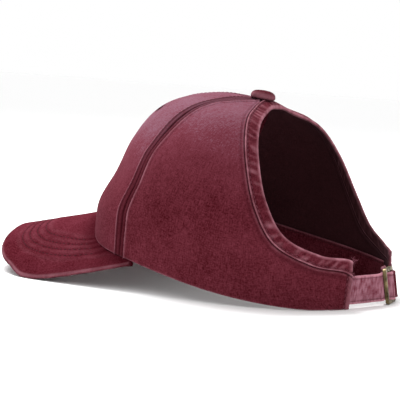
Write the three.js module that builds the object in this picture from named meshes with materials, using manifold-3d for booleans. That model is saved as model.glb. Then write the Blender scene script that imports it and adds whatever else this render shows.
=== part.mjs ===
// A washed cotton baseball cap with a ponytail opening, resting on a table as it does by itself.
// Millimetres, +Z up. The brim points along -Y and the wearer's left is +X.
// The origin is on the table, in the middle of the cap's box.
import * as THREE from "three";
import Module from "manifold-3d";

const wasm = await Module();
wasm.setup();

// Crown: reaches are measured from a centre inside the cap
const centreHeight = 43;
const frontReach = 105;
const backReach = 84.5;
const sideReach = 79;
const apexRise = 74.3;
const frontRimHeight = 40;
const clothThickness = 1.4;
const clearance = 0.3;
const apexHoleRadius = 3;
const frontGrid = [11, 20];
const sideGrid = [24, 14];

// Seams and the opening, in degrees round the crown from the middle of the front
const frontSeamAzimuth = 55;
const rearHemAzimuth = 158.4;
const openingAxisElevation = 30;
const openingAngle = 51.3;
const bindingEndAround = 150;
const bindingEndSlant = 3.5;
const bindingWidth = 8;
const bindingThickness = 2;
const bindingGrid = [56, 3];
const sideStartAround = 3;
const sideMeetAround = 10;

// Brim
const brimLength = 67;
const brimHalfWidth = 82;
const brimEndAzimuth = 60;
const brimEndWidth = 2;
const brimTipHeight = 21;
const brimThickness = 2.5;
const brimGrid = [44, 6];

// Sweatband, button and eyelets
const sweatbandHeight = 21;
const sweatbandThickness = 1.2;
const sweatbandEndAzimuth = 147;
const sweatbandGrid = [48, 3];
const buttonDiameter = 15.5;
const buttonHeight = 5.2;
const buttonShankDiameter = 3.2;
const buttonTilt = 7;
const eyeletAzimuth = 27;
const eyeletElevation = 46;
const eyeletDiameter = 7;
const eyeletHoleDiameter = 2.6;
const eyeletThickness = 2;

// Closure
const strapWidth = 16.8;
const strapThickness = 1.6;
const strapStartAzimuth = 149.5;
const strapEndAzimuth = 206;
const tabStartAzimuth = 210.5;
const tabWidth = 16.4;
const tabThickness = 1.2;
const buckleAzimuth = 190;
const buckleLength = 21;
const buckleHeight = 21.5;
const buckleThickness = 2;
const buckleArm = 2;
const buckleBar = 2.4;
const buckleWindowCorner = 0.4;
const buckleLean = 10;
const buckleStandOff = 1.4;
const layerRoom = 0.5;
const strapSettle = 4;
const strapSteps = 90;
const tabSteps = 60;

// Crown sections: the reach at seven elevations, as shares of a plain dome of the reaches above
const elevationStations = [-30, 0, 15, 30, 50, 70, 90];
const crownSections = [
  { azimuth: 0, low: 0.975, level: 0.965, flank: 0.93, shoulder: 0.995, upper: 1.095, crest: 1.068, apex: 1 },
  { azimuth: 45, low: 1.03, level: 1.015, flank: 0.965, shoulder: 1.02, upper: 1.09, crest: 1.058, apex: 1 },
  { azimuth: 90, low: 1.02, level: 1.0, flank: 1.025, shoulder: 1.075, upper: 1.09, crest: 1.0, apex: 1 },
  { azimuth: 135, low: 1.045, level: 1.025, flank: 0.98, shoulder: 0.94, upper: 0.925, crest: 0.93, apex: 1 },
  { azimuth: 180, low: 1.02, level: 1.0, flank: 0.94, shoulder: 0.87, upper: 0.84, crest: 0.86, apex: 1 },
];

// Rim heights round the crown, as shares of the height at the middle of the front
const rimSections = [
  { azimuth: 0, height: 1 },
  { azimuth: 30, height: 0.62 },
  { azimuth: 60, height: 0.435 },
  { azimuth: 90, height: 0.225 },
  { azimuth: 115, height: 0.085 },
  { azimuth: 140, height: 0 },
  { azimuth: 180, height: 0 },
];

// Front seam: its azimuth from the rim at 0 to the top at 1, as a share of the named azimuth
const seamSections = [
  { rise: 0, share: 0.955 },
  { rise: 0.3, share: 0.96 },
  { rise: 0.65, share: 1.15 },
  { rise: 1, share: 1.2 },
];

// Opening edge: its angle from the opening's axis, as a share of the angle at the top
const openingSections = [
  { around: 0, share: 1 },
  { around: 35, share: 0.99 },
  { around: 70, share: 1.055 },
  { around: 95, share: 1.125 },
  { around: 112, share: 1.135 },
  { around: 130, share: 1.01 },
  { around: 150, share: 0.87 },
];

// Brim edge from the middle towards an end, as shares of the brim's sizes. The end is set by the rim
const brimSections = [
  { along: 0, side: 0, forward: 1, height: 1 },
  { along: 0.2, side: 0.34, forward: 0.93, height: 0.75 },
  { along: 0.4, side: 0.65, forward: 0.72, height: 0.48 },
  { along: 0.6, side: 0.88, forward: 0.44, height: 0.24 },
  { along: 0.8, side: 1, forward: 0.05, height: 0 },
];

const radians = (degrees) => (degrees * Math.PI) / 180;

// Value at x on a smooth curve through the points, level at its ends
function smoothValue(xs, ys, x) {
  const last = xs.length - 1;
  let i = 0;
  while (i < last - 1 && x > xs[i + 1]) i += 1;
  const slope = (k) => (k <= 0 || k >= last ? 0 : (ys[k + 1] - ys[k - 1]) / (xs[k + 1] - xs[k - 1]));
  const span = xs[i + 1] - xs[i];
  const t = Math.min(1, Math.max(0, (x - xs[i]) / span));
  const rise = t * t * (3 - 2 * t);
  const leave = t * (1 - t) * (1 - t) * span * slope(i);
  const arrive = t * t * (t - 1) * span * slope(i + 1);
  return ys[i] * (1 - rise) + ys[i + 1] * rise + leave + arrive;
}

const tableValue = (rows, key, column, at) =>
  smoothValue(
    rows.map((row) => row[key]),
    rows.map((row) => row[column]),
    at,
  );

// Unit vector from the crown's centre. Azimuth 0 is the middle of the front, 90 the wearer's left
function directionAt(azimuth, elevation) {
  const a = radians(azimuth);
  const e = radians(elevation);
  return new THREE.Vector3(Math.sin(a) * Math.cos(e), -Math.cos(a) * Math.cos(e), Math.sin(e));
}

const stationColumns = ["low", "level", "flank", "shoulder", "upper", "crest", "apex"];

// Distance from the centre to the crown's outer face
function crownReach(direction) {
  const lengthReach = direction.y < 0 ? frontReach : backReach;
  const rise = Math.max(0, direction.z) / apexRise;
  const dome = 1 / Math.hypot(direction.x / sideReach, direction.y / lengthReach, rise);
  const azimuth = Math.abs((Math.atan2(direction.x, -direction.y) * 180) / Math.PI);
  const elevation = (Math.asin(direction.z) * 180) / Math.PI;
  const shares = stationColumns.map((column) => tableValue(crownSections, "azimuth", column, azimuth));
  return dome * smoothValue(elevationStations, shares, elevation);
}

const centre = new THREE.Vector3(0, 0, centreHeight);

// Point on the crown in a direction, moved out from its outer face by offset
const crownPoint = (direction, offset) =>
  direction.clone().multiplyScalar(crownReach(direction) + offset).add(centre);

// Elevation at which the crown, moved out by offset, meets a height
function elevationAtHeight(azimuth, height, offset) {
  let elevation = 0;
  for (let step = 0; step < 12; step += 1) {
    const direction = directionAt(azimuth, elevation);
    const level = (crownReach(direction) + offset) * Math.cos(radians(elevation));
    elevation = (Math.atan2(height - centreHeight, level) * 180) / Math.PI;
  }
  return elevation;
}

const rimHeight = (azimuth) =>
  Math.max(0, frontRimHeight * tableValue(rimSections, "azimuth", "height", Math.abs(azimuth)));

// Direction moved sideways round the crown by a distance, for the gap at a seam
function moveRound(direction, azimuth, distance) {
  const a = radians(azimuth);
  const sideways = new THREE.Vector3(Math.cos(a), Math.sin(a), 0);
  return direction.clone().addScaledVector(sideways, distance / crownReach(direction)).normalize();
}

// Geometry whose faces all point out
function facingOut(positions, index) {
  let volume = 0;
  const corner = (i) => new THREE.Vector3().fromArray(positions, index[i] * 3);
  for (let i = 0; i < index.length; i += 3) {
    volume += corner(i).dot(corner(i + 1).cross(corner(i + 2)));
  }
  const geometry = new THREE.BufferGeometry();
  geometry.setAttribute("position", new THREE.Float32BufferAttribute(positions, 3));
  geometry.setIndex(volume < 0 ? index.toReversed() : index);
  geometry.computeVertexNormals();
  return geometry;
}

// Closed sheet between two layers of a grid of points
function sheet(uSteps, vSteps, pointAt, outer, inner) {
  const columns = uSteps + 1;
  const layer = columns * (vSteps + 1);
  const positions = [];
  for (const offset of [outer, inner]) {
    for (let v = 0; v <= vSteps; v += 1) {
      for (let u = 0; u <= uSteps; u += 1) {
        positions.push(...pointAt(u / uSteps, v / vSteps, offset).toArray());
      }
    }
  }
  const index = [];
  const quad = (a, b, c, d) => index.push(a, b, c, a, c, d);
  const at = (u, v) => v * columns + u;
  for (let v = 0; v < vSteps; v += 1) {
    for (let u = 0; u < uSteps; u += 1) {
      quad(at(u, v), at(u + 1, v), at(u + 1, v + 1), at(u, v + 1));
      quad(layer + at(u, v), layer + at(u, v + 1), layer + at(u + 1, v + 1), layer + at(u + 1, v));
    }
  }
  const wall = (a, b) => quad(b, a, layer + a, layer + b);
  for (let u = 0; u < uSteps; u += 1) {
    wall(at(u, 0), at(u + 1, 0));
    wall(at(u + 1, vSteps), at(u, vSteps));
  }
  for (let v = 0; v < vSteps; v += 1) {
    wall(at(0, v + 1), at(0, v));
    wall(at(uSteps, v), at(uSteps, v + 1));
  }
  return facingOut(positions, index);
}

const toManifold = (geometry) =>
  new wasm.Manifold(
    new wasm.Mesh({
      numProp: 3,
      vertProperties: new Float32Array(geometry.getAttribute("position").array),
      triVerts: new Uint32Array(geometry.index.array),
    }),
  );

function fromManifold(solid) {
  const mesh = solid.getMesh();
  return facingOut(Array.from(mesh.vertProperties), Array.from(mesh.triVerts));
}

// Elevation of the panels' top ends, beside the button's shank
const topElevation = 90 - (Math.atan2(apexHoleRadius, apexRise) * 180) / Math.PI;

// Front panel
const seamAzimuth = (rise) => frontSeamAzimuth * tableValue(seamSections, "rise", "share", rise);

// Direction on a meridian of the front, from the rim at 0 to the top at 1
function frontDirection(share, rise, offset) {
  const azimuth = seamAzimuth(rise) * share;
  const rim = elevationAtHeight(azimuth, rimHeight(azimuth), offset);
  return directionAt(azimuth, rim + (topElevation - rim) * rise);
}

function frontPanel() {
  const pointAt = (u, v, offset) => {
    const gap = clearance * (0.5 - u);
    return crownPoint(moveRound(frontDirection(u, v, offset), seamAzimuth(v) * u, gap), offset);
  };
  const panel = toManifold(sheet(...frontGrid, pointAt, 0, -clothThickness));
  const drill = wasm.Manifold.cylinder(20, eyeletDiameter / 2 + clearance, eyeletDiameter / 2 + clearance, 20, true);
  return fromManifold(panel.subtract(drill.transform(eyeletPlacement().toArray())));
}

// Placement of an eyelet: its axis along the crown's normal, its origin in the middle of the cloth
function eyeletPlacement() {
  const at = (azimuth, elevation) => crownPoint(directionAt(azimuth, elevation), -clothThickness / 2);
  const origin = at(eyeletAzimuth, eyeletElevation);
  const round = at(eyeletAzimuth + 2, eyeletElevation).sub(origin).normalize();
  const rise = at(eyeletAzimuth, eyeletElevation + 2).sub(origin);
  const normal = round.clone().cross(rise).normalize();
  return new THREE.Matrix4().makeBasis(round, normal.clone().cross(round), normal).setPosition(origin);
}

function eyelet() {
  const outer = eyeletDiameter / 2;
  const hole = eyeletHoleDiameter / 2;
  const half = eyeletThickness / 2;
  const middle = (outer + hole) / 2;
  const profile = [
    new THREE.Vector2(hole, -half * 0.5),
    new THREE.Vector2(middle, -half),
    new THREE.Vector2(outer, -half * 0.5),
    new THREE.Vector2(outer, half * 0.5),
    new THREE.Vector2(middle, half),
    new THREE.Vector2(hole, half * 0.5),
    new THREE.Vector2(hole, -half * 0.5),
  ];
  const geometry = new THREE.LatheGeometry(profile, 20).rotateX(Math.PI / 2);
  return geometry.applyMatrix4(eyeletPlacement());
}

// Opening: an axis through it, and directions on its edge moved out over the crown by a width
const openingTilt = radians(openingAxisElevation);
const openingAxis = new THREE.Vector3(0, Math.cos(openingTilt), Math.sin(openingTilt));
const openingUp = new THREE.Vector3(0, -Math.sin(openingTilt), Math.cos(openingTilt));
const openingSide = new THREE.Vector3(1, 0, 0);

function openingDirection(around, width) {
  const share = tableValue(openingSections, "around", "share", Math.abs(around));
  const onEdge = (angle) =>
    openingAxis
      .clone()
      .multiplyScalar(Math.cos(angle))
      .addScaledVector(openingUp, Math.sin(angle) * Math.cos(radians(around)))
      .addScaledVector(openingSide, Math.sin(angle) * Math.sin(radians(around)));
  const angle = radians(openingAngle * share);
  return onEdge(angle + width / crownReach(onEdge(angle)));
}

const bindingEnd = (width) => bindingEndAround + (bindingEndSlant * width) / bindingWidth;

function openingBinding() {
  const middle = -clothThickness / 2;
  const pointAt = (u, v, offset) => {
    const width = bindingWidth * v;
    return crownPoint(openingDirection(bindingEnd(width) * (2 * u - 1), width), offset);
  };
  return sheet(...bindingGrid, pointAt, middle + bindingThickness / 2, middle - bindingThickness / 2);
}

// Patch over four edge curves of directions: bottom and top run rearwards, left and right upwards
function patchDirection(u, v, bottom, top, left, right) {
  const direction = new THREE.Vector3();
  direction.addScaledVector(bottom(u), 1 - v).addScaledVector(top(u), v);
  direction.addScaledVector(left(v), 1 - u).addScaledVector(right(v), u);
  direction.addScaledVector(bottom(0), -(1 - u) * (1 - v)).addScaledVector(bottom(1), -u * (1 - v));
  direction.addScaledVector(top(0), -(1 - u) * v).addScaledVector(top(1), -u * v);
  return direction.normalize();
}

// Side panel: its top edge starts beside the button and meets the binding a little further round
function sidePanel() {
  const width = bindingWidth + clearance;
  const half = clearance / 2;
  const pointAt = (u, v, offset) => {
    const bottom = (s) => {
      const start = seamAzimuth(0);
      const azimuth = start + (rearHemAzimuth - start) * s;
      const rim = elevationAtHeight(azimuth, rimHeight(azimuth), offset);
      return moveRound(directionAt(azimuth, rim), azimuth, half * (1 - s));
    };
    const seam = (s) => moveRound(frontDirection(1, s, offset), seamAzimuth(s), half);
    const top = (s) => {
      const around = sideStartAround + (bindingEnd(width) - sideStartAround) * s;
      const apart = Math.max(0, (sideMeetAround - around) / (sideMeetAround - sideStartAround));
      return openingDirection(around, width).lerp(seam(1), apart).normalize();
    };
    const right = (s) => bottom(1).lerp(top(1), s).normalize();
    return crownPoint(patchDirection(u, v, bottom, top, seam, right), offset);
  };
  return sheet(...sideGrid, pointAt, 0, -clothThickness);
}

// Sweatband inside the rim, open at the rear
function sweatband() {
  const outer = -clothThickness - clearance;
  const pointAt = (u, v, offset) => {
    const azimuth = sweatbandEndAzimuth * (2 * u - 1);
    const height = rimHeight(azimuth) + clearance + sweatbandHeight * v;
    return crownPoint(directionAt(azimuth, elevationAtHeight(azimuth, height, offset)), offset);
  };
  return sheet(...sweatbandGrid, pointAt, outer, outer - sweatbandThickness);
}

// Brim: a bent board from under the rim to its free edge, given by the height of its lower face
function brimRim(azimuth, offset) {
  const height = rimHeight(azimuth) - clearance - brimThickness;
  return crownPoint(directionAt(azimuth, elevationAtHeight(azimuth, height, offset)), offset);
}

const brimEnd = brimRim(brimEndAzimuth, brimEndWidth);
const frontFace = brimRim(0, 0).y;
const brimLeft = [
  ...brimSections,
  {
    along: 1,
    side: brimEnd.x / brimHalfWidth,
    forward: (frontFace - brimEnd.y) / brimLength,
    height: brimEnd.z / brimTipHeight,
  },
];
const brimRight = brimLeft.slice(1).map((row) => ({ ...row, along: -row.along, side: -row.side }));
const brimRows = [...brimRight.reverse(), ...brimLeft];

function brimEdge(along) {
  const side = brimHalfWidth * tableValue(brimRows, "along", "side", along);
  const forward = brimLength * tableValue(brimRows, "along", "forward", along);
  const height = brimTipHeight * tableValue(brimRows, "along", "height", along);
  return new THREE.Vector3(side, frontFace - forward, Math.max(0, height));
}

function brim() {
  const pointAt = (u, v, offset) => {
    const along = 2 * u - 1;
    const point = brimRim(brimEndAzimuth * along, -clothThickness).lerp(brimEdge(along), v);
    point.z += offset;
    return point;
  };
  return sheet(...brimGrid, pointAt, brimThickness, 0);
}

// Button: a dome with a flat underside and a shank through the top of the crown
function topButton() {
  const radius = buttonDiameter / 2;
  const shank = buttonShankDiameter / 2;
  const profile = [
    new THREE.Vector2(0, -buttonHeight * 0.6),
    new THREE.Vector2(shank, -buttonHeight * 0.6),
    new THREE.Vector2(shank, 0),
    new THREE.Vector2(radius * 0.9, 0),
    new THREE.Vector2(radius, buttonHeight * 0.22),
    new THREE.Vector2(radius * 0.96, buttonHeight * 0.5),
    new THREE.Vector2(radius * 0.82, buttonHeight * 0.76),
    new THREE.Vector2(radius * 0.55, buttonHeight * 0.93),
    new THREE.Vector2(radius * 0.25, buttonHeight),
    new THREE.Vector2(0, buttonHeight),
  ];
  return new THREE.LatheGeometry(profile, 24).rotateX(Math.PI / 2);
}

// Closure: the buckle leans, with its foot out, and the cloth leans with it
const leanAngle = radians(buckleLean);
const strapMiddle = (buckleHeight * Math.cos(leanAngle) + buckleThickness * Math.sin(leanAngle)) / 2;

// Plan point on the crown's section at the strap's middle
function rearPoint(azimuth, offset) {
  const point = crownPoint(directionAt(azimuth, elevationAtHeight(azimuth, strapMiddle, offset)), offset);
  return point.setZ(0);
}

const buckleAlong = rearPoint(buckleAzimuth + 4, 0).sub(rearPoint(buckleAzimuth - 4, 0)).normalize();
const buckleOut = new THREE.Vector3(buckleAlong.y, -buckleAlong.x, 0);
const buckleCentre = rearPoint(buckleAzimuth, 0).addScaledVector(buckleOut, buckleStandOff);

// Plan point beside the buckle, from its centre
const bucklePoint = (along, out) =>
  buckleCentre.clone().addScaledVector(buckleAlong, along).addScaledVector(buckleOut, out);

// Direction up the cloth: leaning at the buckle, upright from twice its half length on
function clothUp(point) {
  const away = Math.abs(point.clone().sub(buckleCentre).dot(buckleAlong)) / (buckleLength / 2);
  const angle = leanAngle * (1 - THREE.MathUtils.smoothstep(away, 1.1, 2));
  return new THREE.Vector3(0, 0, Math.cos(angle)).addScaledVector(buckleOut, -Math.sin(angle));
}

// Strip of cloth on edge, following a smooth path in plan
function strip(points, thickness, width, steps) {
  const curve = new THREE.CatmullRomCurve3(points, false, "centripetal");
  const up = new THREE.Vector3(0, 0, 1);
  const pointAt = (u, v, offset) => {
    const side = curve.getTangentAt(u).cross(up).normalize();
    const point = curve.getPointAt(u).addScaledVector(side, offset);
    point.addScaledVector(clothUp(point), width * (v - 0.5));
    return point.setZ(point.z + strapMiddle);
  };
  return sheet(steps, 1, pointAt, thickness / 2, -thickness / 2);
}

// Layers inside the rear panels: the strap or the tab first, then the strap's tail
const strapOffset = -(clothThickness + clearance + layerRoom + strapThickness / 2);
const tabOffset = -(clothThickness + clearance + layerRoom + tabThickness / 2);
const tailOffset = tabOffset - tabThickness / 2 - clearance - layerRoom - strapThickness / 2;

// Distances from the buckle's middle plane and middle bar to the layers round its bars
const barLength = buckleLength / 2 - buckleBar / 2;
const strapRise = buckleThickness / 2 + clearance + strapThickness / 2;
const tabRise = buckleThickness / 2 + clearance + tabThickness / 2;
const tabFold = barLength - buckleBar / 2 - clearance - tabThickness / 2;
const tailDrop = tabRise + tabThickness / 2 + clearance + strapThickness / 2;

function strap() {
  const hem = rearHemAzimuth;
  return strip(
    [
      rearPoint(strapStartAzimuth, strapOffset),
      rearPoint((strapStartAzimuth + hem) / 2, strapOffset),
      rearPoint(hem, strapOffset),
      rearPoint(hem + 6, strapOffset),
      bucklePoint(-barLength - strapSettle, -strapRise),
      bucklePoint(-barLength, -strapRise),
      bucklePoint(-barLength * 0.8, -strapRise),
      bucklePoint(-barLength * 0.5, 0),
      bucklePoint(-barLength * 0.2, strapRise * 0.95),
      bucklePoint(0, strapRise * 1.05),
      bucklePoint(barLength * 0.19, strapRise * 0.9),
      bucklePoint(barLength * 0.42, -tailDrop * 0.28),
      bucklePoint(barLength * 0.7, -tailDrop),
      bucklePoint(barLength + 1.5, -tailDrop - 0.4),
      rearPoint(strapEndAzimuth - 4, tailOffset),
      rearPoint(strapEndAzimuth, tailOffset),
    ],
    strapThickness,
    strapWidth,
    strapSteps,
  );
}

function buckleTab() {
  const hem = 360 - rearHemAzimuth;
  return strip(
    [
      rearPoint(tabStartAzimuth, tabOffset),
      rearPoint((tabStartAzimuth + hem) / 2, tabOffset),
      rearPoint(hem - 0.5, tabOffset),
      bucklePoint(barLength + 2.6, tabRise * 0.3),
      bucklePoint(barLength + 0.8, tabRise * 1.02),
      bucklePoint(barLength - 0.9, tabRise),
      bucklePoint(tabFold * 1.02, tabRise * 0.6),
      bucklePoint(tabFold, 0),
      bucklePoint(tabFold * 1.02, -tabRise * 0.6),
      bucklePoint(barLength - 0.9, -tabRise),
      bucklePoint(barLength + 1.6, -tabRise),
    ],
    tabThickness,
    tabWidth,
    tabSteps,
  );
}

function rectanglePath(path, left, right, bottom, top, corner) {
  path.moveTo(left + corner, bottom);
  path.lineTo(right - corner, bottom);
  path.quadraticCurveTo(right, bottom, right, bottom + corner);
  path.lineTo(right, top - corner);
  path.quadraticCurveTo(right, top, right - corner, top);
  path.lineTo(left + corner, top);
  path.quadraticCurveTo(left, top, left, top - corner);
  path.lineTo(left, bottom + corner);
  path.quadraticCurveTo(left, bottom, left + corner, bottom);
  return path;
}

// Buckle: a flat frame with a middle bar, standing on the table on its lower edge
function buckle() {
  const half = buckleLength / 2;
  const tall = buckleHeight / 2;
  const frame = rectanglePath(new THREE.Shape(), -half, half, -tall, tall, buckleBar);
  const inside = tall - buckleArm;
  const window = (from, to) =>
    rectanglePath(new THREE.Path(), from, to, -inside, inside, buckleWindowCorner);
  const middle = buckleArm / 2;
  frame.holes.push(window(-half + buckleBar, -middle), window(middle, half - buckleBar));
  const options = { depth: buckleThickness, bevelEnabled: false, curveSegments: 5 };
  const geometry = new THREE.ExtrudeGeometry(frame, options).translate(0, 0, -buckleThickness / 2);
  const up = clothUp(buckleCentre);
  const basis = new THREE.Matrix4().makeBasis(buckleAlong, up, buckleAlong.clone().cross(up));
  return geometry.applyMatrix4(basis.setPosition(buckleCentre.x, buckleCentre.y, strapMiddle));
}

// Assembly
const cloth = new THREE.MeshStandardMaterial({ color: 0x6e2a3a, roughness: 0.95, metalness: 0 });
const brass = new THREE.MeshStandardMaterial({ color: 0x7a6a45, roughness: 0.5, metalness: 0.9 });

const cap = new THREE.Group();

function add(name, geometry, material) {
  const mesh = new THREE.Mesh(geometry, material);
  mesh.name = name;
  cap.add(mesh);
  return mesh;
}

// The same geometry on the other side of the cap
function mirrored(geometry) {
  const positions = Array.from(geometry.getAttribute("position").array);
  const index = Array.from(geometry.index.array);
  return facingOut(positions.map((value, i) => (i % 3 === 0 ? -value : value)), index);
}

const leftFront = frontPanel();
const leftSide = sidePanel();
const leftEyelet = eyelet();
add("front_panel_left", leftFront, cloth);
add("front_panel_right", mirrored(leftFront), cloth);
add("side_panel_left", leftSide, cloth);
add("side_panel_right", mirrored(leftSide), cloth);
add("opening_binding", openingBinding(), cloth);
add("sweatband", sweatband(), cloth);
add("brim", brim(), cloth);
add("eyelet_left", leftEyelet, cloth);
add("eyelet_right", mirrored(leftEyelet), cloth);
add("strap", strap(), cloth);
add("buckle_tab", buckleTab(), cloth);
add("buckle", buckle(), brass);
const button = add("top_button", topButton(), cloth);
const bindingProud = (bindingThickness - clothThickness) / 2;
button.position.set(0, 0, centreHeight + apexRise + bindingProud + clearance);
button.rotation.x = -radians(buttonTilt);

const box = new THREE.Box3().setFromObject(cap);
const boxCentre = box.getCenter(new THREE.Vector3());
cap.position.set(-boxCentre.x, -boxCentre.y, -box.min.z);

export default cap;
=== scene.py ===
import math

import bmesh
import bpy
import numpy as np
from mathutils import Matrix, Vector, noise


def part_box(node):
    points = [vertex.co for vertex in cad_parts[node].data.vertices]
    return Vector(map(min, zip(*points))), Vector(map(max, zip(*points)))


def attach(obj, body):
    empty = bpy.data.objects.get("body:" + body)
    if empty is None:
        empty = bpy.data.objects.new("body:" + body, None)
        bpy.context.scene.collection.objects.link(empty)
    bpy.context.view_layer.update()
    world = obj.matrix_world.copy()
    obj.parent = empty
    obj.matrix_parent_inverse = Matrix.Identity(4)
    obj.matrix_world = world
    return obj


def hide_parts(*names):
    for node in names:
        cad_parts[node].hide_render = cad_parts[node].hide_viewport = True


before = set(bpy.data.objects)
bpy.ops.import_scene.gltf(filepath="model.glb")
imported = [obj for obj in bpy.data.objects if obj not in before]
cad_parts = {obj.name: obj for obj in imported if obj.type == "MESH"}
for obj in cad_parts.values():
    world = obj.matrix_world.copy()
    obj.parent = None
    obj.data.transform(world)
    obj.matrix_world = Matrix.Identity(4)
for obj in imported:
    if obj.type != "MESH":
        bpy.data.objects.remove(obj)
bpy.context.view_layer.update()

mm = 0.001

# The crown's shape in millimetres and degrees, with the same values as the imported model
crown = {
    "centreHeight": 43, "frontReach": 105, "backReach": 84.5, "sideReach": 79, "apexRise": 74.3,
    "frontRimHeight": 40, "thickness": 1.4, "clearance": 0.3, "apexHoleRadius": 3,
    "frontSeamAzimuth": 55, "rearHemAzimuth": 158.4,
}
elevationStations = [-30, 0, 15, 30, 50, 70, 90]
crownAzimuths = [0, 45, 90, 135, 180]
crownShares = {
    "low": [0.975, 1.03, 1.02, 1.045, 1.02],
    "level": [0.965, 1.015, 1.0, 1.025, 1.0],
    "flank": [0.93, 0.965, 1.025, 0.98, 0.94],
    "shoulder": [0.995, 1.02, 1.075, 0.94, 0.87],
    "upper": [1.095, 1.09, 1.09, 0.925, 0.84],
    "crest": [1.068, 1.058, 1.0, 0.93, 0.86],
    "apex": [1, 1, 1, 1, 1],
}
rimTable = {"azimuth": [0, 30, 60, 90, 115, 140, 180], "height": [1, 0.62, 0.435, 0.225, 0.085, 0, 0]}
seamTable = {"rise": [0, 0.3, 0.65, 1], "share": [0.955, 0.96, 1.15, 1.2]}
openingTable = {
    "around": [0, 35, 70, 95, 112, 130, 150], "share": [1, 0.99, 1.055, 1.125, 1.135, 1.01, 0.87],
}


def smoothValue(xs, ys, x):
    # value at x on a smooth curve through the points, level at its ends
    xs, x = np.asarray(xs, float), np.atleast_1d(np.asarray(x, float))
    ys = np.asarray(ys, float)
    if ys.ndim == 1:
        ys = np.repeat(ys[:, None], x.size, 1)
    last = len(xs) - 1
    slopes = np.zeros_like(ys)
    slopes[1:last] = (ys[2:] - ys[:-2]) / (xs[2:] - xs[:-2])[:, None]
    i = np.clip(np.searchsorted(xs, x) - 1, 0, last - 1)
    pick = lambda table, row: np.take_along_axis(table, row[None, :], 0)[0]
    span = xs[i + 1] - xs[i]
    t = np.clip((x - xs[i]) / span, 0, 1)
    rise = t * t * (3 - 2 * t)
    bend = t * (1 - t) ** 2 * pick(slopes, i) + t * t * (t - 1) * pick(slopes, i + 1)
    return pick(ys, i) * (1 - rise) + pick(ys, i + 1) * rise + bend * span


def unit(v):
    return v / np.linalg.norm(v, axis=-1, keepdims=True)


def directionAt(azimuth, elevation):
    a, e = np.broadcast_arrays(np.radians(azimuth), np.radians(elevation))
    return np.stack([np.sin(a) * np.cos(e), -np.cos(a) * np.cos(e), np.sin(e)], -1)


def crownReach(d):
    # distance from the crown's centre to its outer face
    lengthReach = np.where(d[:, 1] < 0, crown["frontReach"], crown["backReach"])
    rise = np.maximum(0, d[:, 2]) / crown["apexRise"]
    dome = 1 / np.sqrt((d[:, 0] / crown["sideReach"]) ** 2 + (d[:, 1] / lengthReach) ** 2 + rise ** 2)
    azimuth = np.abs(np.degrees(np.arctan2(d[:, 0], -d[:, 1])))
    elevation = np.degrees(np.arcsin(np.clip(d[:, 2], -1, 1)))
    shares = np.stack([smoothValue(crownAzimuths, column, azimuth) for column in crownShares.values()])
    return dome * smoothValue(elevationStations, shares, elevation)


def crownPoint(d, offset=0.0):
    return d * (crownReach(d) + offset)[:, None] + np.array([0, 0, crown["centreHeight"]])


def elevationAtHeight(azimuth, height, offset=0.0):
    # elevation at which the crown meets a height
    azimuth, height = np.broadcast_arrays(np.asarray(azimuth, float), np.asarray(height, float))
    elevation = np.zeros(azimuth.shape)
    for step in range(12):
        level = (crownReach(directionAt(azimuth, elevation)) + offset) * np.cos(np.radians(elevation))
        elevation = np.degrees(np.arctan2(height - crown["centreHeight"], level))
    return elevation


def rimHeight(azimuth):
    share = smoothValue(rimTable["azimuth"], rimTable["height"], np.abs(azimuth))
    return np.maximum(0, crown["frontRimHeight"] * share)


def moveRound(d, azimuth, distance):
    a = np.radians(azimuth)
    sideways = np.stack([np.cos(a), np.sin(a), np.zeros_like(a)], -1)
    return unit(d + sideways * (distance / crownReach(d))[:, None])


def seamAzimuth(rise):
    return crown["frontSeamAzimuth"] * smoothValue(seamTable["rise"], seamTable["share"], rise)


topElevation = 90 - math.degrees(math.atan2(crown["apexHoleRadius"], crown["apexRise"]))


def frontDirection(share, rise, offset=0.0):
    # direction on a meridian of the front, from the rim at 0 to the top at 1
    azimuth = seamAzimuth(rise) * share
    rim = elevationAtHeight(azimuth, rimHeight(azimuth), offset)
    return directionAt(azimuth, rim + (topElevation - rim) * rise)


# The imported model's brim tip says how far the crown's centre is from the frame's origin
brimShape = {"length": 67, "halfWidth": 82, "endAzimuth": 60, "endWidth": 2, "tipHeight": 21,
             "thickness": 2.5}


def brimRim(azimuth, offset=0.0):
    height = rimHeight(azimuth) - crown["clearance"] - brimShape["thickness"]
    return crownPoint(directionAt(azimuth, elevationAtHeight(azimuth, height, offset)), offset)


frontFace = brimRim(np.zeros(1))[0, 1]
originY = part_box("brim")[0][1] - (frontFace - brimShape["length"]) * mm


def toFrame(points):
    return np.asarray(points) * mm + np.array([0, originY, 0])


print("stage: camera and light")
view = {
    "around": 25.7, "above": 4.5, "roll": 3.9,     # degrees: from the wearer's left, up, and clockwise
    "distance": 0.95, "lookHeight": 0.057,         # metres
    "lens": 137.9, "sensor": 36, "shiftX": -0.14, "shiftY": -0.008, "farthest": 50,
}


def addObject(name, data):
    thing = bpy.data.objects.new(name, data)
    bpy.context.scene.collection.objects.link(thing)
    return thing


def makeCamera():
    around, above, tilt = (math.radians(view[key]) for key in ("around", "above", "roll"))
    level = math.cos(above)
    towards = Vector((math.cos(around) * level, math.sin(around) * level, math.sin(above)))
    right = Vector((-math.sin(around), math.cos(around), 0))
    up = towards.cross(right)
    turnedRight = right * math.cos(tilt) + up * math.sin(tilt)
    turnedUp = up * math.cos(tilt) - right * math.sin(tilt)
    data = bpy.data.cameras.new("camera")
    data.lens = view["lens"]
    data.sensor_width = view["sensor"]
    data.sensor_fit = "HORIZONTAL"
    data.shift_x = view["shiftX"]
    data.shift_y = view["shiftY"]
    data.clip_end = view["farthest"]
    camera = addObject("camera", data)
    place = Vector((0, originY, view["lookHeight"])) + towards * view["distance"]
    turn = Matrix((turnedRight, turnedUp, towards)).transposed().to_4x4()
    camera.matrix_world = Matrix.Translation(place) @ turn
    bpy.context.scene.camera = camera


makeCamera()

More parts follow.
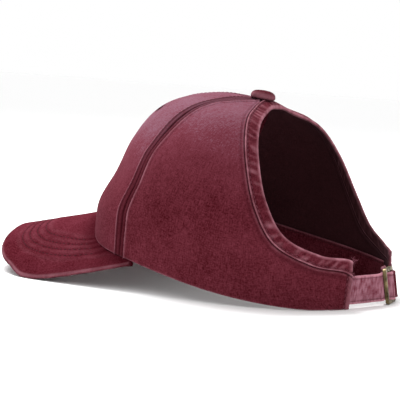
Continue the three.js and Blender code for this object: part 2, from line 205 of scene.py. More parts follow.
light = {
    "sky": 1.0, "floorColor": (0.98, 0.98, 0.98), "floorReach": 12, "aimHeight": 0.05,
    "key": {"power": 34, "size": 0.9, "place": (-0.45, -0.75, 1.4)},
    "fill": {"power": 1.5, "size": 1.6, "place": (1.4, -0.9, 1.0)},
}


def addNode(tree, kind, inputs=None, **settings):
    node = tree.nodes.new(kind)
    for key, value in settings.items():
        setattr(node, key, value)
    for key, value in (inputs or {}).items():
        if isinstance(value, bpy.types.NodeSocket):
            tree.links.new(value, node.inputs[key])
        else:
            node.inputs[key].default_value = value
    return node


def setInputs(node, values):
    for key, value in values.items():
        node.inputs[key].default_value = value


def startMaterial(name):
    material = bpy.data.materials.new(name)
    material.use_nodes = True
    return material, material.node_tree, material.node_tree.nodes["Principled BSDF"]


def makeLight(name):
    look = light[name]
    data = bpy.data.lights.new(name, "AREA")
    data.energy = look["power"]
    data.size = look["size"]
    lamp = addObject(name, data)
    lamp.location = look["place"]
    aim = Vector((0, 0, light["aimHeight"])) - Vector(look["place"])
    lamp.rotation_euler = aim.to_track_quat("-Z", "Y").to_euler()


def makeStage():
    scene = bpy.context.scene
    scene.world = bpy.data.worlds.new("studio")
    scene.world.use_nodes = True
    sky = {"Color": (1, 1, 1, 1), "Strength": light["sky"]}
    setInputs(scene.world.node_tree.nodes["Background"], sky)
    makeLight("key")
    makeLight("fill")
    mesh = bpy.data.meshes.new("floor")
    corners = [(-1, -1, 0), (1, -1, 0), (1, 1, 0), (-1, 1, 0)]
    mesh.from_pydata([Vector(corner) * light["floorReach"] for corner in corners], [], [(0, 1, 2, 3)])
    material, tree, shader = startMaterial("paleFloor")
    setInputs(shader,
              {"Base Color": (*light["floorColor"], 1), "Roughness": 0.6, "Specular IOR Level": 0.2})
    mesh.materials.append(material)
    floor = addObject("floor", mesh)
    scene.view_settings.view_transform = "Standard"
    scene.view_settings.look = "None"


makeStage()

print("stage: materials")
# the groove colour is painted shade, laid where seams, stitch rows, creases and tucked edges would be in
# shadow
clothLook = {
    "deep": (0.045, 0.0025, 0.005), "mid": (0.12, 0.02, 0.031), "soft": (0.152, 0.032, 0.049),
    "faded": (0.204, 0.09, 0.124), "worn": (0.46, 0.2, 0.245), "shadedGroove": (0.03, 0.002, 0.0045),
    "stops": (("deep", 0.0), ("mid", 0.4), ("soft", 0.65), ("faded", 1.0)), "shadeStrength": 0.85,
    "cloudSize": 17, "cloudShare": 0.14, "patchSize": 75, "patchShare": 0.13, "grainSize": 1000,
    "grainShare": 0.34,
    "threadFine": 2300, "threadLong": 190, "weftFine": 2100, "weftLong": 210, "threadShare": 0.5,
    "twillSize": 416.667, "twillTurn": 52, "weaveDepth": 0.00011, "weaveStrength": 0.9,
    "roughness": 0.95, "specular": 0.02, "sheen": 0.02, "sheenRoughness": 0.4,
    "sheenTint": (0.9, 0.6, 0.75),
}
# inside cloth: its own less faded colour, made much darker as painted shade for the unlit inside
shadedInsideLook = {
    **clothLook, "deep": (0.028, 0.0085, 0.01), "mid": (0.04, 0.012, 0.0145), "soft": (0.05, 0.016, 0.019),
    "faded": (0.06, 0.02, 0.024), "shadedGroove": (0.014, 0.003, 0.004),
}
brimClothLook = {**clothLook, "specular": 0, "sheen": 0}


def mixColor(tree, factor, a, b):
    a, b = (value if isinstance(value, bpy.types.NodeSocket) else (*value, 1) for value in (a, b))
    return addNode(tree, "ShaderNodeMix", {0: factor, 6: a, 7: b}, data_type="RGBA").outputs[2]


def times(tree, a, b, clamp=False):
    return addNode(tree, "ShaderNodeMath", {0: a, 1: b}, operation="MULTIPLY", use_clamp=clamp).outputs[0]


def addTimes(tree, base, a, b):
    return addNode(tree, "ShaderNodeMath", {0: a, 1: b, 2: base}, operation="MULTIPLY_ADD").outputs[0]


def noiseValue(tree, vector, scale, detail=3.0, low=0.3, high=0.7, stretch=None):
    if stretch:
        vector = addNode(tree, "ShaderNodeMapping", {"Vector": vector, "Scale": stretch}).outputs[0]
    cloud = addNode(tree, "ShaderNodeTexNoise",
                    {"Vector": vector, "Scale": scale, "Detail": detail}).outputs[0]
    return addNode(tree, "ShaderNodeMapRange",
                   {"Value": cloud, "From Min": low, "From Max": high}).outputs[0]


def addBump(tree, shader, height, distance, strength):
    bump = addNode(tree, "ShaderNodeBump", {"Height": height, "Distance": distance, "Strength": strength})
    tree.links.new(bump.outputs[0], shader.inputs["Normal"])


def clothMaterial(name, look=clothLook, fade=0.5, depth=1.0):
    # washed twill: faded clouds, pale worn ridges, painted shade in grooves and seams, warp and weft
    # threads
    material, tree, shader = startMaterial(name)
    place = addNode(tree, "ShaderNodeTexCoord").outputs["Object"]
    uv = addNode(tree, "ShaderNodeUVMap", uv_map="cloth").outputs[0]
    worn, shadedGroove, tone = (addNode(tree, "ShaderNodeAttribute", attribute_name=key).outputs["Fac"]
                          for key in ("wear", "shadedGroove", "fade"))
    clouds = noiseValue(tree, place, look["cloudSize"])
    patches = noiseValue(tree, place, look["patchSize"], 4)
    grain = noiseValue(tree, place, look["grainSize"], 3, 0.25, 0.75)
    warp = noiseValue(tree, uv, 1.0, 2, stretch=(look["threadFine"], look["threadLong"], 1))
    weft = noiseValue(tree, uv, 1.0, 2, stretch=(look["weftLong"], look["weftFine"], 1))
    threads = addTimes(tree, times(tree, warp, 0.55), weft, 0.45)
    shares = ((clouds, look["cloudShare"]), (patches, look["patchShare"]), (threads, look["threadShare"]),
              (grain, look["grainShare"]))
    middle = 0.5 + 0.5 * sum(share for cloud, share in shares)
    fading = addNode(tree, "ShaderNodeMath", {0: tone, 1: fade - middle}, operation="ADD").outputs[0]
    for cloud, share in shares:
        fading = addTimes(tree, fading, cloud, share)
    ramp = addNode(tree, "ShaderNodeValToRGB", {"Fac": fading})
    stops = ramp.color_ramp.elements
    for key, at in look["stops"][1:-1]:
        stops.new(at)
    for stop, (key, at) in zip(stops, look["stops"]):
        stop.color = (*look[key], 1)
    frayed = times(tree, worn, addTimes(tree, 0.55, patches, 0.7), clamp=True)
    color = mixColor(tree, frayed, ramp.outputs[0], look["worn"])
    # painted shade: mixes the groove colour in where the groove mask is set
    color = mixColor(tree, times(tree, shadedGroove, look["shadeStrength"], clamp=True), color, look["shadedGroove"])
    tree.links.new(color, shader.inputs["Base Color"])
    turned = addNode(tree, "ShaderNodeMapping",
                     {"Vector": uv, "Rotation": (0, 0, math.radians(look["twillTurn"]))})
    twill = addNode(tree, "ShaderNodeTexWave", {
        "Vector": turned.outputs[0], "Scale": look["twillSize"], "Distortion": 0.6, "Detail": 1.0,
        "Detail Scale": 2.0,
    }).outputs["Fac"]
    height = addTimes(tree, addTimes(tree, times(tree, twill, 0.45), threads, 0.8), patches, 1.2)
    addBump(tree, shader, height, look["weaveDepth"] * depth, look["weaveStrength"])
    setInputs(shader, {
        "Roughness": look["roughness"], "Specular IOR Level": look["specular"],
        "Sheen Weight": look["sheen"],
        "Sheen Roughness": look["sheenRoughness"], "Sheen Tint": (*look["sheenTint"], 1),
    })
    return material


threadLook = {
    "burgundyThread": ((0.03, 0.003, 0.006), (0.08, 0.011, 0.019)),
    "fadedThread": ((0.11, 0.022, 0.036), (0.24, 0.07, 0.1)),
    "cloudSize": 160, "twistSize": 900, "twistShare": 0.3, "twistDepth": 0.00008, "roughness": 0.85,
    "specular": 0.15,
}


def threadMaterial(name):
    look = threadLook
    dark, pale = look[name]
    material, tree, shader = startMaterial(name)
    place = addNode(tree, "ShaderNodeTexCoord").outputs["Object"]
    wave = {"Vector": place, "Scale": look["twistSize"], "Distortion": 2.0}
    twist = addNode(tree, "ShaderNodeTexWave", wave, bands_direction="DIAGONAL").outputs["Fac"]
    color = mixColor(tree, noiseValue(tree, place, look["cloudSize"]), dark, pale)
    color = mixColor(tree, times(tree, twist, look["twistShare"]), color, dark)
    tree.links.new(color, shader.inputs["Base Color"])
    addBump(tree, shader, twist, look["twistDepth"], 0.7)
    setInputs(shader, {"Roughness": look["roughness"], "Specular IOR Level": look["specular"]})
    return material


brassLook = {
    "dark": (0.05, 0.038, 0.018), "bright": (0.26, 0.2, 0.1), "roughDark": 0.62, "roughBright": 0.38,
    "tarnishSize": 230, "scratchSize": 60, "scratchStretch": (1, 1, 14), "scratchDepth": 0.00005,
    "metallic": 0.9,
}


def brassMaterial(name):
    look = brassLook
    material, tree, shader = startMaterial(name)
    place = addNode(tree, "ShaderNodeTexCoord").outputs["Object"]
    tarnish = noiseValue(tree, place, look["tarnishSize"], 5, 0.32, 0.66)
    scratches = noiseValue(tree, place, look["scratchSize"], 4, 0.35, stretch=look["scratchStretch"])
    tree.links.new(mixColor(tree, tarnish, look["dark"], look["bright"]), shader.inputs["Base Color"])
    span = {"Value": tarnish, "To Min": look["roughDark"], "To Max": look["roughBright"]}
    tree.links.new(addNode(tree, "ShaderNodeMapRange", span).outputs[0], shader.inputs["Roughness"])
    addBump(tree, shader, scratches, look["scratchDepth"], 0.5)
    setInputs(shader, {"Metallic": look["metallic"]})
    return material


crownCloth = clothMaterial("washedBurgundyTwill")
bindingCloth = clothMaterial("puckeredBindingTwill", fade=0.27, depth=1.5)
brimCloth = clothMaterial("quiltedBrimTwill", brimClothLook, fade=0.21)
strapCloth = clothMaterial("washedStrapTwill", depth=1.3)
shadedInsideCloth = clothMaterial("unfadedShadedInsideTwill", shadedInsideLook, fade=0.4)
bandCloth = clothMaterial("sweatbandTwill", fade=0.17)
threads = {"dark": threadMaterial("burgundyThread"), "faded": threadMaterial("fadedThread")}
brass = brassMaterial("agedBrass")


def edgeDense(count, pull):
    # shares from 0 to 1, closer together near both ends
    t = np.linspace(0, 1, count + 1)
    return t - pull * np.sin(2 * np.pi * t) / (2 * np.pi)


def flatGrid(u, v):
    # every pair of two lists of shares, and the shape of the points that they make
    us, vs = (grid.ravel() for grid in np.meshgrid(u, v))
    return us, vs, (len(v), len(u), 3)


def alongLengths(points, axis):
    # running length along one way of a grid, from its start and from its end
    steps = np.linalg.norm(np.diff(points, axis=axis), axis=-1)
    start = np.zeros(points.shape[:2])
    if axis == 1:
        start[:, 1:] = np.cumsum(steps, 1)
        return start, start[:, -1:] - start
    start[1:, :] = np.cumsum(steps, 0)
    return start, start[-1:, :] - start


def roll(distance, radius):
    # how far a rounded edge drops at a distance from it
    t = np.clip(distance / radius, 0, 1)
    return radius * (1 - np.sqrt(np.maximum(0, 1 - (1 - t) ** 2)))


def hill(distance, middle, width):
    return np.exp(-((distance - middle) / width) ** 2)


def cloudAt(points, size, seed=0.0):
    # smooth noise from -1 to 1 at points in millimetres
    flat = points.reshape(-1, 3) / size + seed
    values = np.fromiter((noise.noise(Vector(p)) for p in flat), float, len(flat))
    return values.reshape(points.shape[:-1])


def finishPiece(piece, slotName, *nodes):
    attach(piece, "root")
    if nodes:
        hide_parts(*nodes)


def sided(points, flip):
    return points * np.array([-1, 1, 1]) if flip else points


def sheetPiece(name, outer, inner, lengths, marks, materials, keep=None, flip=False):
    # closed cloth: two layers of one grid with walls round what is kept
    rows, columns = outer.shape[:2]
    count = rows * columns
    points = sided(np.concatenate([outer.reshape(-1, 3), inner.reshape(-1, 3)]), flip)
    cells = np.ones((rows - 1, columns - 1), bool) if keep is None else keep
    r, c = np.nonzero(cells)
    a = r * columns + c
    top = np.stack([a, a + 1, a + columns + 1, a + columns], 1)
    faces = [top, (top + count)[:, ::-1]]
    padded = np.pad(cells, 1)
    for dr, dc, i, j in ((-1, 0, 0, 1), (1, 0, 2, 3), (0, -1, 3, 0), (0, 1, 1, 2)):
        bare = ~padded[r + 1 + dr, c + 1 + dc]
        first, second = top[bare, i], top[bare, j]
        faces.append(np.stack([second, first, first + count, second + count], 1))
    faces = np.concatenate(faces)
    if volumeOf(points, faces) < 0:
        faces = faces[:, ::-1]
    mesh = bpy.data.meshes.new(name)
    mesh.from_pydata(toFrame(points).tolist(), [], faces.tolist())
    for material in materials:
        mesh.materials.append(material)
    if len(materials) > 1:
        within = (faces >= count).sum(1) > 2
        mesh.polygons.foreach_set("material_index", within.astype(np.int32))
    for key, usual, hiddenShare in (("wear", 0, 0.3), ("shadedGroove", 0, 1), ("fade", 0.5, 1)):
        values = marks.get(key, np.full((rows, columns), usual)).ravel()
        addValues(mesh, key, np.concatenate([values, values * hiddenShare]))
    addCloth(mesh, np.tile(np.stack([lengths[0].ravel(), lengths[1].ravel()], 1), (2, 1)), faces.ravel())
    mesh.update()
    if len(np.unique(faces)) < len(points):
        dropLoose(mesh)
    return addObject(name, mesh)


def volumeOf(points, faces):
    a, b, c, d = (points[faces[:, k]] for k in range(4))
    return (a * (np.cross(b, c) + np.cross(c, d))).sum()


def addValues(mesh, key, values):
    mesh.attributes.new(key, "FLOAT", "POINT").data.foreach_set("value", values.astype(np.float32))


def addCloth(mesh, flat, corners):
    # the cloth's own flat places in metres, for its threads
    mesh.polygons.foreach_set("use_smooth", np.ones(len(mesh.polygons), bool))
    layer = mesh.uv_layers.new(name="cloth")
    layer.data.foreach_set("uv", (flat[corners] * mm).astype(np.float32).ravel())


def dropLoose(mesh):
    work = bmesh.new()
    work.from_mesh(mesh)
    bmesh.ops.delete(work, geom=[v for v in work.verts if not v.link_faces], context="VERTS")
    work.to_mesh(mesh)
    work.free()


def lineAt(points, distances, target, axis=1):
    # points of a grid at one distance from an edge, one for each row or column
    if axis == 0:
        points, distances = points.transpose(1, 0, 2), distances.T
    line = []
    for row, distance in zip(points, distances):
        if distance.min() > target or distance.max() < target:
            continue
        order = np.argsort(distance)
        line.append([np.interp(target, distance[order], row[order, k]) for k in range(3)])
    return np.array(line)


print("stage: front panels")
# lowFade to topFade: the crown's colour from low to high, partly sun fading, partly painted light from
# above
panelLook = {
    "pull": 0.8, "edgeRadius": 0.75, "outerDrop": 0.47, "innerDrop": 0.3, "seamGap": 0.03, "lowest": 0.02,
    "stitchAt": 4.4, "ridge": 0.5, "pucker": 0.16, "puckerSize": 5.5, "puckerReach": 7, "raggedSize": 4.5,
    "lowFade": 0.27, "topFade": 0.7, "fadeFrom": 50, "fadeOver": 70, "fadePower": 1.5,
}
frontLook = {
    **panelLook, "columns": 84, "rows": 150, "rowPull": 0.6, "centreStitchAt": 3.4, "dent": 0.7,
    "dentSize": 34,
    "calmReach": 12, "sunFadeAndPaintedLightShare": 0.22, "sunFadeAndPaintedLightFrom": 60, "sunFadeAndPaintedLightOver": 45, "extraFade": 0.06, "mostFade": 0.88,
    "eyeletShade": 3.7,
}
stitchLines = {"crown": [], "binding": [], "brim": [], "strap": [], "band": [], "fray": []}


def seamProfile(d, at, ridge):
    # rounded into the seam, flat over the turned-in cloth, a ridge at the stitches, then a step down
    profile = ridge * hill(d, at + 0.5, 0.85) - 0.3 * hill(d, at + 2.1, 0.8)
    return profile + 0.12 * hill(d, at * 0.45, at * 0.3)


def seamMarks(d, at):
    # the second mask is painted shade in the seam and along the band up to the stitches
    ridge = hill(d, at + 0.45, 0.55)
    band = 0.35 * hill(d, at - 1.1, 0.75) + 0.4 * hill(d, 0, 0.8) + 0.58 * (d < at)
    return ridge, np.clip(band, 0, 1)


def softRelief(look, ground, flip, near, edge, seeds):
    # dents of worn cloth, puckers near the seams, and how ragged the worn ridges are
    real = sided(ground, flip)
    calm = np.clip(edge / look["calmReach"], 0, 1)
    relief = look["dent"] * cloudAt(real, look["dentSize"], seeds[0]) * calm
    puckers = 0.25 + np.exp(-(near / look["puckerReach"]) ** 2)
    relief += look["pucker"] * cloudAt(real, look["puckerSize"], seeds[1]) * puckers
    return relief, 0.65 + 0.5 * cloudAt(real, look["raggedSize"], seeds[2])


def fadeAndPaintedLightByHeight(points):
    # lighter towards the top of the crown: partly sun fading, partly painted light from above
    look = panelLook
    rise = np.clip((points[..., 2] - look["fadeFrom"]) / look["fadeOver"], 0, 1)
    return look["lowFade"] + look["topFade"] * rise ** look["fadePower"]


def finishPanel(look, name, node, flip, base, ground, relief, edges, lengths, wear, paintedShade, fade,
                cells=None):
    # outer and inner layers of a panel, rounded where an edge is near
    drop = roll(np.minimum.reduce(edges), look["edgeRadius"])
    drop *= crown["thickness"] * look["outerDrop"] / look["edgeRadius"]
    away = base.reshape(ground.shape)
    outer = ground + away * (relief - drop)[..., None]
    inner = ground + away * (look["innerDrop"] * drop - crown["thickness"])[..., None]
    for layer in (outer, inner):
        layer[..., 2] = np.maximum(layer[..., 2], look["lowest"])
    marks = {"wear": np.clip(wear, 0, 1), "shadedGroove": np.clip(paintedShade, 0, 1), "fade": fade}
    piece = sheetPiece(name, outer, inner, lengths, marks, [crownCloth, shadedInsideCloth], cells, flip)
    finishPiece(piece, "washed_cotton", node)
    return outer


def makeFrontPanel(name, node, flip=False):
    look = frontLook
    us, vs, shape = flatGrid(edgeDense(look["columns"], look["pull"]),
                             edgeDense(look["rows"], look["rowPull"]))
    base = moveRound(frontDirection(us, vs), seamAzimuth(vs) * us, look["seamGap"] * (0.5 - us))
    ground = crownPoint(base).reshape(shape)
    middle, seam = alongLengths(ground, 1)
    rim, top = alongLengths(ground, 0)
    rows = ((seam, look["stitchAt"]), (middle, look["centreStitchAt"]))
    relief, ragged = softRelief(look, ground, flip, np.minimum(seam, middle), np.minimum(rim, top),
                                (3.1, 9.7, 6.1))
    relief += seamProfile(seam, look["stitchAt"], look["ridge"])
    relief += seamProfile(middle, look["centreStitchAt"], look["ridge"] * 0.5)
    (ridge, shadedGroove), (middleRidge, middleShade) = (seamMarks(*row) for row in rows)
    wear = (0.52 * ridge + 0.36 * middleRidge + 0.5 * hill(rim, 0.2, 0.7)) * ragged
    ring = np.linalg.norm(ground - eyeletPlace()[0], axis=-1)
    # painted shade along both seams and in a ring round the eyelet's rim
    paintedShade = shadedGroove + 0.6 * middleShade + 0.7 * hill(ring, look["eyeletShade"], 0.8)
    cells = 0.25 * (ring[1:, 1:] + ring[:-1, 1:] + ring[1:, :-1]
                    + ring[:-1, :-1]) > eyeletLook["holeInCloth"]
    # the front's upper part is lighter still: partly sun fading, partly painted light from above
    sunFadeAndPaintedLight = np.clip((ground[..., 2] - look["sunFadeAndPaintedLightFrom"]) / look["sunFadeAndPaintedLightOver"], 0, 1)
    fade = np.minimum(fadeAndPaintedLightByHeight(ground) + look["extraFade"] + look["sunFadeAndPaintedLightShare"] * sunFadeAndPaintedLight, look["mostFade"])
    outer = finishPanel(look, name, node, flip, base, ground, relief, (seam, middle, rim, top),
                        (middle, rim),
                        wear, paintedShade, fade, cells)
    for distance, at in rows:
        stitchLines["crown"].append(sided(lineAt(outer, distance, at)[2:], flip))


eyeletLook = {
    "azimuth": 27, "elevation": 46, "outer": 3.5, "hole": 1.3, "half": 1.0, "holeInCloth": 2.6,
    "threads": 40, "sides": 160, "rounds": 16, "bulge": 0.12, "rise": 0.14,
}


def eyeletPlace():
    at = lambda a, e: crownPoint(directionAt(np.array([a]), np.array([e])), -crown["thickness"] / 2)[0]
    a, e = eyeletLook["azimuth"], eyeletLook["elevation"]
    origin = at(a, e)
    around = unit(at(a + 2, e) - origin)
    normal = unit(np.cross(around, at(a, e + 2) - origin))
    return origin, around, np.cross(normal, around), normal


def ringFaces(rings, count, closed=False):
    # faces between rings of points; closed joins the last ring to the first
    pairs = np.meshgrid(np.arange(rings if closed else rings - 1), np.arange(count))
    ring, step = (grid.ravel() for grid in pairs)
    low, high, after = ring * count, (ring + 1) % rings * count, (step + 1) % count
    return np.stack([low + step, low + after, high + after, high + step], 1).tolist()


def circle(count):
    return np.arange(count) * 2 * np.pi / count


def makeEyelet(name, node, flip=False):
    # a ring of thread wound over the hole's edge
    look = eyeletLook
    origin, across, upward, normal = eyeletPlace()
    turn, wrap = np.meshgrid(circle(look["sides"]), circle(look["rounds"]))
    wind = 0.5 + 0.5 * np.cos(turn * look["threads"] + wrap)
    reach = (look["outer"] - look["hole"]) / 2 - look["bulge"] * (1 - wind)
    radius = (look["outer"] + look["hole"]) / 2 + reach * np.cos(wrap)
    height = (look["half"] - look["rise"] * (1 - wind)) * np.sin(wrap)
    points = origin + (radius * np.cos(turn))[..., None] * across
    points = points + (radius * np.sin(turn))[..., None] * upward
    points = sided((points + height[..., None] * normal).reshape(-1, 3), flip)
    faces = [face[::-1] if flip else face for face in ringFaces(look["rounds"], look["sides"], True)]
    piece = solidPiece(name, points, faces, threads["dark"])
    finishPiece(piece, "embroidery_thread", node)


def solidPiece(name, points, faces, material):
    # a closed body with its faces outwards
    mesh = bpy.data.meshes.new(name)
    mesh.from_pydata(toFrame(points).tolist(), [], faces)
    mesh.materials.append(material)
    mesh.polygons.foreach_set("use_smooth", np.ones(len(mesh.polygons), bool))
    mesh.update()
    work = bmesh.new()
    work.from_mesh(mesh)
    if work.calc_volume(signed=True) < 0:
        bmesh.ops.reverse_faces(work, faces=work.faces)
    work.to_mesh(mesh)
    work.free()
    return addObject(name, mesh)


makeFrontPanel("frontPanelLeft", "front_panel_left")
makeEyelet("eyeletLeft", "eyelet_left")
makeFrontPanel("frontPanelRight", "front_panel_right", True)
makeEyelet("eyeletRight", "eyelet_right", True)

print("stage: side panels and binding")
sideLook = {
    **panelLook, "columns": 170, "rows": 118, "dent": 0.8, "dentSize": 38, "calmReach": 14,
    "rearStitchAt": 4.6,
    "bindingRidge": 0.25, "hemStitchLowest": 1.8,
}
opening = {
    "tilt": 30, "angle": 51.3, "endAround": 150, "endSlant": 3.5, "width": 8, "thickness": 2,
    "startAround": 3, "meetAround": 10,
}


def openingDirection(around, width):
    tilt = math.radians(opening["tilt"])
    axis = np.array([0, math.cos(tilt), math.sin(tilt)])
    up = np.array([0, -math.sin(tilt), math.cos(tilt)])
    a = np.radians(around)
    rim = up * np.cos(a)[:, None] + np.array([1, 0, 0]) * np.sin(a)[:, None]
    onEdge = lambda angle: axis * np.cos(angle)[:, None] + rim * np.sin(angle)[:, None]
    share = smoothValue(openingTable["around"], openingTable["share"], np.abs(around))
    angle = np.radians(opening["angle"] * share)
    return onEdge(angle + width / crownReach(onEdge(angle)))


def bindingEnd(width):
    return opening["endAround"] + opening["endSlant"] * width / opening["width"]


def sideDirection(us, vs, gap):
    # a panel stretched between its rim, its front seam, the binding and the rear hem
    width = opening["width"] + gap
    zeros, ones = np.zeros_like(us), np.ones_like(us)

    def bottom(s):
        start = seamAzimuth(np.zeros_like(s))
        azimuth = start + (crown["rearHemAzimuth"] - start) * s
        rim = elevationAtHeight(azimuth, rimHeight(azimuth))
        return moveRound(directionAt(azimuth, rim), azimuth, gap / 2 * (1 - s))

    def seam(s):
        return moveRound(frontDirection(np.ones_like(s), s), seamAzimuth(s), np.full_like(s, gap / 2))

    def top(s):
        around = opening["startAround"] + (bindingEnd(width) - opening["startAround"]) * s
        apart = (opening["meetAround"] - around) / (opening["meetAround"] - opening["startAround"])
        apart = np.maximum(0, apart)[:, None]
        edge = openingDirection(around, np.full_like(s, width))
        return unit(edge * (1 - apart) + seam(np.ones_like(s)) * apart)

    u, v = us[:, None], vs[:, None]
    lowEnd, highEnd = bottom(ones), top(ones)
    right = unit(lowEnd * (1 - v) + highEnd * v)
    d = bottom(us) * (1 - v) + top(us) * v + seam(vs) * (1 - u) + right * u
    d = d - bottom(zeros) * (1 - u) * (1 - v) - lowEnd * u * (1 - v)
    return unit(d - top(zeros) * (1 - u) * v - highEnd * u * v)


def makeSidePanel(name, node, flip=False):
    look = sideLook
    us, vs, shape = flatGrid(edgeDense(look["columns"], look["pull"]),
                             edgeDense(look["rows"], look["pull"]))
    base = sideDirection(us, vs, look["seamGap"])
    ground = crownPoint(base).reshape(shape)
    seam, hem = alongLengths(ground, 1)
    rim, bind = alongLengths(ground, 0)
    edge = np.minimum(np.minimum(rim, bind), hem)
    relief, ragged = softRelief(look, ground, flip, np.minimum(seam, bind), edge, (5.3, 1.7, 2.9))
    relief += seamProfile(seam, look["stitchAt"], look["ridge"])
    relief += look["bindingRidge"] * hill(bind, 1.2, 0.9)
    relief += 0.3 * hill(hem, 2.0, 1.4) - 0.25 * hill(hem, 4.2, 0.6)
    ridge, shadedGroove = seamMarks(seam, look["stitchAt"])
    wear = 0.55 * ridge + 0.2 * hill(bind, 1.0, 0.7) + 0.45 * hill(rim, 0.2, 0.7)
    wear += 0.6 * hill(hem, 0.3, 0.9) + 0.5 * hill(hem, 2.0, 1.7)
    # painted shade in the seam, along the binding's edge and in the hem's stitch groove
    paintedShade = shadedGroove + 0.75 * hill(bind, 0, 0.8) + 0.4 * hill(bind, 3.0, 1.2) + 0.85 * hill(hem, 4.6, 0.8)
    outer = finishPanel(look, name, node, flip, base, ground, relief, (seam, hem, rim, bind), (seam, rim),
                        wear * ragged, paintedShade, fadeAndPaintedLightByHeight(ground))
    rear = lineAt(outer, hem, look["rearStitchAt"])
    for line in (lineAt(outer, seam, look["stitchAt"])[2:], rear[rear[:, 2] > look["hemStitchLowest"]]):
        stitchLines["crown"].append(sided(line, flip))


makeSidePanel("sidePanelLeft", "side_panel_left")
makeSidePanel("sidePanelRight", "side_panel_right", True)

bindingLook = {
    "columns": 700, "rows": 30, "pull": 0.7, "edgeRadius": 0.9, "edgeDrop": 0.92, "lift": 0.18,
    "stitchAt": 1.9,
    "ridge": 0.38, "stitchDepth": 0.42, "innerRidge": 0.2, "pucker": 0.27, "puckerLength": 7.0,
    "slant": 0.9,
    "wander": 0.7, "streak": 1.1, "streakSize": 2.6, "fade": 0.5,
}


def makeBinding():
    look = bindingLook
    us, vs, shape = flatGrid(np.linspace(-1, 1, look["columns"] + 1), edgeDense(look["rows"], look["pull"]))
    base = openingDirection(bindingEnd(opening["width"] * vs) * us, opening["width"] * vs)
    ground = crownPoint(base).reshape(shape)
    along, rest = alongLengths(ground, 1)
    ends = np.minimum(along, rest)
    run = along[shape[0] // 2]
    run = np.tile(run - run.max() / 2, (shape[0], 1))
    edge = opening["width"] * vs.reshape(shape[:2])
    outerEdge = opening["width"] - edge
    wave = (run + edge * look["slant"]) / look["puckerLength"] + look["wander"] * cloudAt(ground, 14, 4.4)
    streaks = np.stack([run + edge * look["slant"], 0.4 * edge, np.zeros_like(run)], -1)
    fold = 0.5 * np.sin(2 * np.pi * wave) * (0.5 + cloudAt(ground, 9, 8.8))
    fold += look["streak"] * cloudAt(streaks, look["streakSize"], 1.2)
    across = np.clip(np.sin(np.pi * edge / opening["width"]), 0, 1) ** 0.8
    half = opening["thickness"] / 2
    relief = half - crown["thickness"] / 2 + look["lift"] + look["pucker"] * fold * across
    relief += look["ridge"] * hill(outerEdge, 0.75, 0.6) + look["innerRidge"] * hill(edge, 1.0, 0.8)
    relief -= look["stitchDepth"] * hill(outerEdge, look["stitchAt"], 0.5)
    near = np.minimum(np.minimum(edge, outerEdge), ends)
    drop = roll(near, look["edgeRadius"]) * (half * look["edgeDrop"] / look["edgeRadius"])
    away = base.reshape(shape)
    outer = ground + away * (relief - drop)[..., None]
    inner = ground + away * (drop - crown["thickness"] / 2 - half)[..., None]
    ragged = 0.75 + 0.6 * cloudAt(ground, 3.5, 7.4)
    wear = (0.7 * hill(outerEdge, 0.7, 0.42) + 0.7 * hill(edge, 0.3, 0.8)) * ragged
    wear += 0.4 * np.clip(fold, 0, 1) * across + 0.5 * hill(ends, 0.5, 2.6) * ragged
    # painted shade in the stitch line, in the pucker troughs and at the outer edge
    paintedShade = 0.5 * hill(outerEdge, look["stitchAt"], 0.45) + 0.6 * np.clip(-fold, 0, 1) * across
    paintedShade += 0.5 * hill(outerEdge, 0, 0.3)
    marks = {"wear": np.clip(wear, 0, 1), "shadedGroove": np.clip(paintedShade, 0, 1),
             "fade": np.full(edge.shape, look["fade"])}
    piece = sheetPiece("openingBinding", outer, inner, (run, edge), marks, [bindingCloth, shadedInsideCloth])
    finishPiece(piece, "washed_cotton", "opening_binding")
    stitchLines["binding"].append(lineAt(outer, outerEdge, look["stitchAt"], axis=0))


makeBinding()

print("stage: sweatband and seam tapes")
bandLook = {
    "height": 21, "thickness": 1.2, "endAzimuth": 147, "columns": 260, "rows": 22, "pull": 0.6,
    "edgeRadius": 0.6,
    "edgeDrop": 0.9, "stitchAt": 2.2, "stitchDepth": 0.25, "wave": 0.14, "waveSize": 9,
}


def makeSweatband():
    look = bandLook
    us, vs, shape = flatGrid(np.linspace(-1, 1, look["columns"] + 1), edgeDense(look["rows"], look["pull"]))
    azimuth = look["endAzimuth"] * us
    height = rimHeight(azimuth) + crown["clearance"] + look["height"] * vs
    offset = -crown["thickness"] - crown["clearance"]
    base = directionAt(azimuth, elevationAtHeight(azimuth, height, offset))
    ground = crownPoint(base, offset).reshape(shape)
    run, rest = alongLengths(ground, 1)
    low, high = alongLengths(ground, 0)
    drop = roll(np.minimum.reduce((low, high, run, rest)), look["edgeRadius"]) * look["edgeDrop"]
    stitched = hill(high, look["stitchAt"], 0.5)
    soft = look["wave"] * cloudAt(ground, look["waveSize"], 2.2) - look["stitchDepth"] * stitched
    away = base.reshape(shape)
    outer = ground - away * drop[..., None]
    inner = ground - away * (look["thickness"] - drop + soft)[..., None]
    # painted shade along the stitch line
    marks = {"wear": 0.9 * hill(high, 0.3, 0.8), "shadedGroove": 0.6 * stitched}
    piece = sheetPiece("innerSweatband", outer, inner, (run, low), marks, [bandCloth])
    finishPiece(piece, "sweatband_twill", "sweatband")
    stitchLines["band"].append(lineAt(inner, high, look["stitchAt"], axis=0))


makeSweatband()

tapeLook = {
    "width": 11, "thickness": 0.45, "gap": 0.06, "edgeRadius": 0.5, "edgeDrop": 0.4, "edgeRise": 0.25,
    "centreFrom": 0.15, "sideFrom": 0.13, "to": 0.97, "rows": 90, "columns": 10, "taperFrom": 1.02,
    "taper": 7,
}


